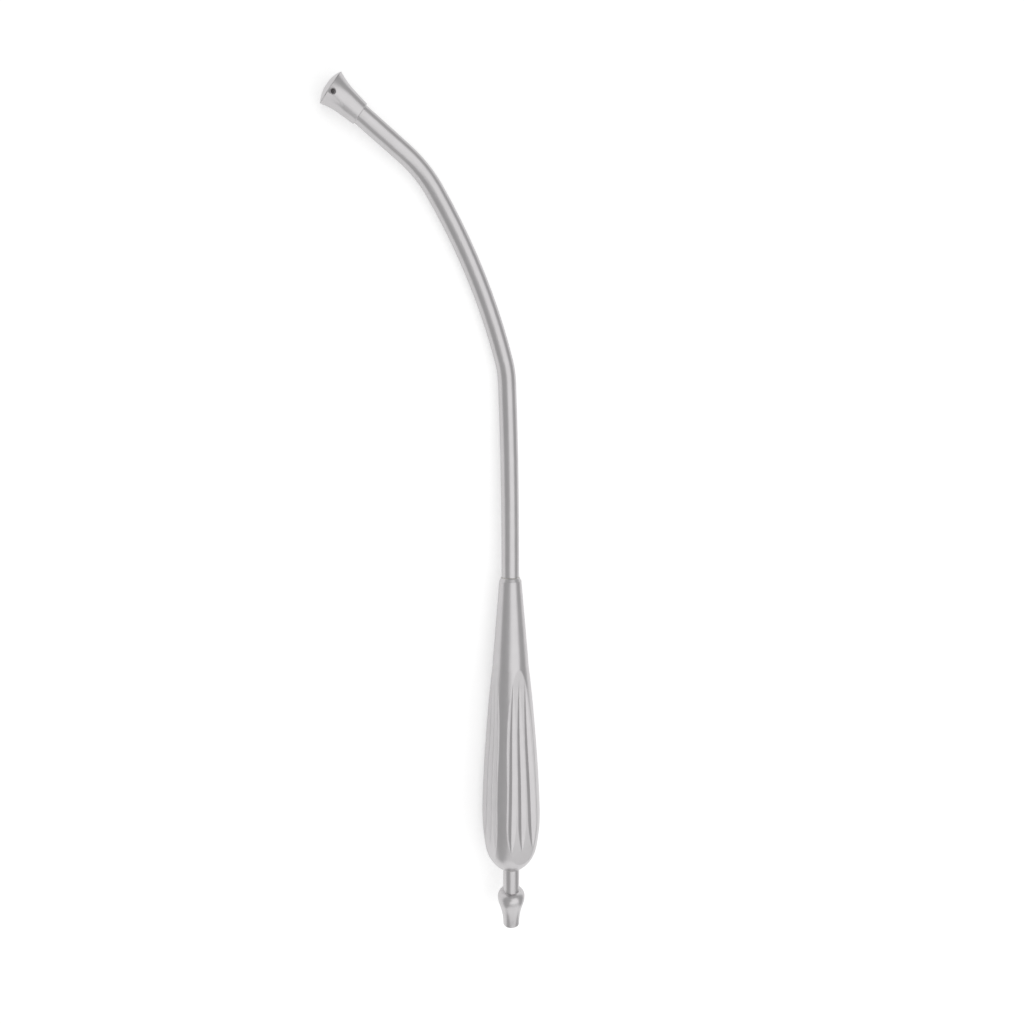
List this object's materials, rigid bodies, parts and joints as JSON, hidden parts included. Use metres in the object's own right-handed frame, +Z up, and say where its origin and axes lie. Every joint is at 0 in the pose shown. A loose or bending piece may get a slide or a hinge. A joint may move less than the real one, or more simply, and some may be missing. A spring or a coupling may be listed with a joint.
{
  "type": "surgical suction tube",
  "caption": "Rigid steel suction tube with a hollow fluted grip, an olive hose nipple, a twice-bent tube and a screw-off trumpet tip with a perforated domed cap.",
  "frame": {"origin": "middle of the lying tool's footprint, on the table it rests on", "axes": "+Y along the grip from the hose end towards the tip (the grip's own axis dips 2.4 degrees towards the tip), +Z up from the table, the tube bends towards -X"},
  "size_m": [0.0692, 0.2852, 0.0191],
  "materials": {
    "tube_steel": "satin-polished drawn stainless steel tube",
    "grip_steel": "satin stainless steel, finely matted",
    "turned_steel": "turned stainless steel, satin-polished"
  },
  "bodies": {
    "tube_and_grip": {"suction_tube": "tube_steel", "hose_nipple": "turned_steel", "handle_shell": "grip_steel", "tip_bush": "turned_steel"},
    "tip": {"tip_body": "turned_steel", "tip_cap": "turned_steel"}
  },
  "joints": [
    {"name": "tip_slide", "type": "slide", "parent": "tube_and_grip", "child": "tip", "axis": [-0.8242, 0.5635, 0.0572], "range_m": [0, 0.012]}
  ]
}
